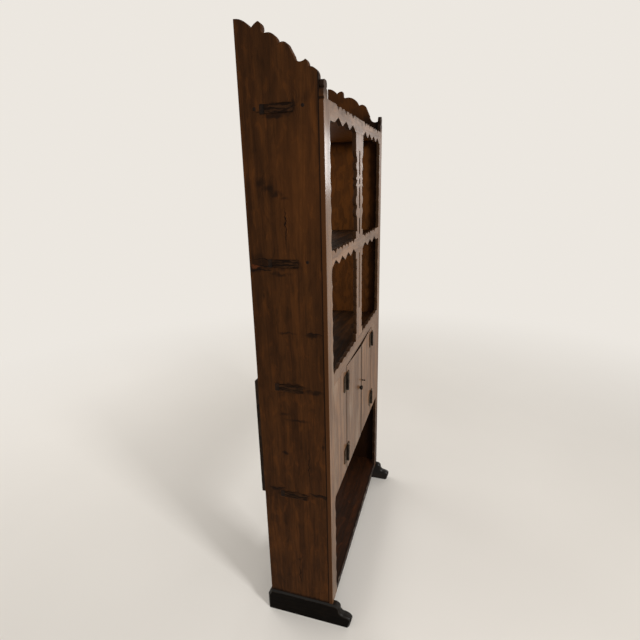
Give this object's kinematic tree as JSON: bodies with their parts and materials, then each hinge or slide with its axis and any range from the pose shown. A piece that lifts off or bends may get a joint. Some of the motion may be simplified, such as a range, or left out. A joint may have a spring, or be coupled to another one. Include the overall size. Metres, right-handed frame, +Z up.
{
  "type": "plate cabinet",
  "caption": "Tall plank plate cabinet: open shelves with fretted rails and pierced mullions over a cupboard with hinged doors, carved side boards on sled feet.",
  "frame": {"origin": "on the floor, under the middle of the whole outline", "axes": "+Z up, the front looks along -Y, +X to the right seen from the front"},
  "size_m": [0.956, 0.3391, 2.05],
  "materials": {
    "side_wood": "waxed dark plank",
    "frame_wood": "waxed worn plank",
    "shelf_wood": "dry brown plank",
    "foot_wood": "black waxed",
    "wedge_wood": "dark end grain",
    "back_wood": "rough and tarred",
    "iron": "hand-worked, dark and dull"
  },
  "bodies": {
    "cabinet": {"left_side": "side_wood", "right_side": "side_wood", "left_stile": "frame_wood", "right_stile": "frame_wood", "top_rail": "frame_wood", "middle_rail": "frame_wood", "counter_rail": "frame_wood", "upper_mullion": "frame_wood", "lower_mullion": "frame_wood", "left_panel": "frame_wood", "right_panel": "frame_wood", "base_board": "shelf_wood", "cupboard_floor": "shelf_wood", "cupboard_top": "shelf_wood", "middle_shelf": "shelf_wood", "top_board": "shelf_wood", "left_foot": "foot_wood", "right_foot": "foot_wood", "left_tenon_wedges": "wedge_wood", "right_tenon_wedges": "wedge_wood", "lower_back_plank": "back_wood", "middle_back_plank": "back_wood", "upper_back_plank": "back_wood", "left_upper_frame_leaf": "iron", "left_upper_hinge_pin": "iron", "left_lower_frame_leaf": "iron", "left_lower_hinge_pin": "iron", "right_upper_frame_leaf": "iron", "right_upper_hinge_pin": "iron", "right_lower_frame_leaf": "iron", "right_lower_hinge_pin": "iron"},
    "left_door": {"left_door": "frame_wood", "left_lower_batten": "shelf_wood", "left_upper_batten": "shelf_wood", "left_lower_door_leaf": "iron", "left_upper_door_leaf": "iron"},
    "right_door": {"right_door": "frame_wood", "right_lower_batten": "shelf_wood", "right_upper_batten": "shelf_wood", "right_lower_door_leaf": "iron", "right_upper_door_leaf": "iron", "right_pull": "iron"},
    "knob": {"knob": "iron", "latch_bar": "iron"}
  },
  "joints": [
    {"name": "left_door_hinge", "type": "hinge", "parent": "cabinet", "child": "left_door", "pos_m": [-0.237, -0.103, 0.75], "axis": [0, 0, -1], "range_deg": [0, 165]},
    {"name": "right_door_hinge", "type": "hinge", "parent": "cabinet", "child": "right_door", "pos_m": [0.258, -0.103, 0.75], "axis": [0, 0, 1], "range_deg": [0, 165]},
    {"name": "knob_turn", "type": "hinge", "parent": "left_door", "child": "knob", "pos_m": [0.003, -0.0975, 0.777], "axis": [0, 1, 0], "range_deg": [0, 90]}
  ]
}
